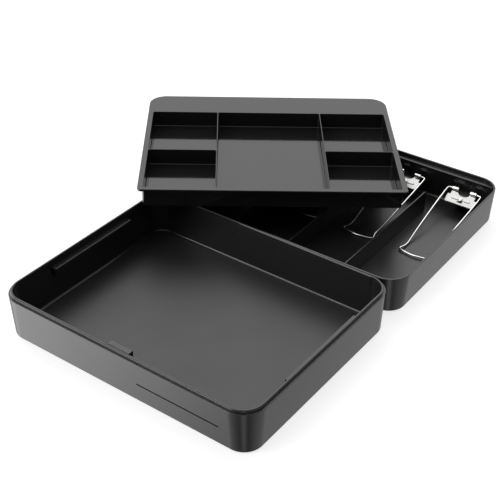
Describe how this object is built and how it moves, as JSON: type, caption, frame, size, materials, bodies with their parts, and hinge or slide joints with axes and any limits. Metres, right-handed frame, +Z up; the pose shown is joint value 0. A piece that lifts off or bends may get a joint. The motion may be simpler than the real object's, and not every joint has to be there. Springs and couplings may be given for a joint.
{
  "type": "cash drawer",
  "caption": "Portable cash drawer: shallow base with note bays and wire note clamps, a lift-out coin tray with deep cups, and a deep lid lying open beside it.",
  "frame": {"origin": "Middle of the base's underside, on the counter", "axes": "+Z up. +X to the user's right along the base's width, +Y from the base's front to the clamps at its rear; the lid lies on its back in front of the base (-Y) and the coin tray lies across both"},
  "size_m": [0.4676, 0.6074, 0.0818],
  "materials": {
    "case_plastic": "injection-moulded black ABS, satin gloss outside, finely grained floors",
    "tray_plastic": "injection-moulded black ABS, glossy enough to mirror the cup walls",
    "divider_plastic": "thin moulded black plastic, satin",
    "clamp_plate": "nickel-plated pressed steel, bright, faintly brushed",
    "clamp_rivet": "nickel-plated steel rivet",
    "clamp_wire": "polished nickel-plated spring wire"
  },
  "bodies": {
    "base": {"base_shell": "case_plastic", "divider_1": "divider_plastic", "divider_2": "divider_plastic", "divider_3": "divider_plastic", "clamp_bracket_1": "clamp_plate", "clamp_bracket_2": "clamp_plate", "clamp_bracket_3": "clamp_plate", "clamp_bracket_4": "clamp_plate", "clamp_rivet_1": "clamp_rivet", "clamp_rivet_2": "clamp_rivet", "clamp_rivet_3": "clamp_rivet", "clamp_rivet_4": "clamp_rivet"},
    "lid": {"lid_shell": "case_plastic"},
    "tray": {"coin_tray": "tray_plastic"},
    "bail_1_body": {"bail_1": "clamp_wire"},
    "bail_2_body": {"bail_2": "clamp_wire"},
    "bail_3_body": {"bail_3": "clamp_wire"},
    "bail_4_body": {"bail_4": "clamp_wire"}
  },
  "joints": [
    {"name": "lid_away", "type": "slide", "parent": "base", "child": "lid", "axis": [0, -1, 0], "range_m": [0, 0.3]},
    {"name": "tray_lift", "type": "slide", "parent": "base", "child": "tray", "axis": [0, 0, 1], "range_m": [0, 0.2]},
    {"name": "bail_1_turn", "type": "hinge", "parent": "base", "child": "bail_1_body", "pos_m": [0.1265, 0.1132, 0.029], "axis": [-1, 0, 0], "range_deg": [0, 80]},
    {"name": "bail_2_turn", "type": "hinge", "parent": "base", "child": "bail_2_body", "pos_m": [0.0475, 0.1132, 0.029], "axis": [-1, 0, 0], "range_deg": [0, 80]},
    {"name": "bail_3_turn", "type": "hinge", "parent": "base", "child": "bail_3_body", "pos_m": [-0.0315, 0.1132, 0.029], "axis": [-1, 0, 0], "range_deg": [0, 80]},
    {"name": "bail_4_turn", "type": "hinge", "parent": "base", "child": "bail_4_body", "pos_m": [-0.1105, 0.1132, 0.029], "axis": [-1, 0, 0], "range_deg": [0, 80]}
  ],
  "couplings": [
    {"joint": "bail_2_turn", "follows": "tray_lift", "rad_per_m": 6.9},
    {"joint": "bail_3_turn", "follows": "tray_lift", "rad_per_m": 6.9},
    {"joint": "bail_4_turn", "follows": "tray_lift", "rad_per_m": 6.9}
  ]
}
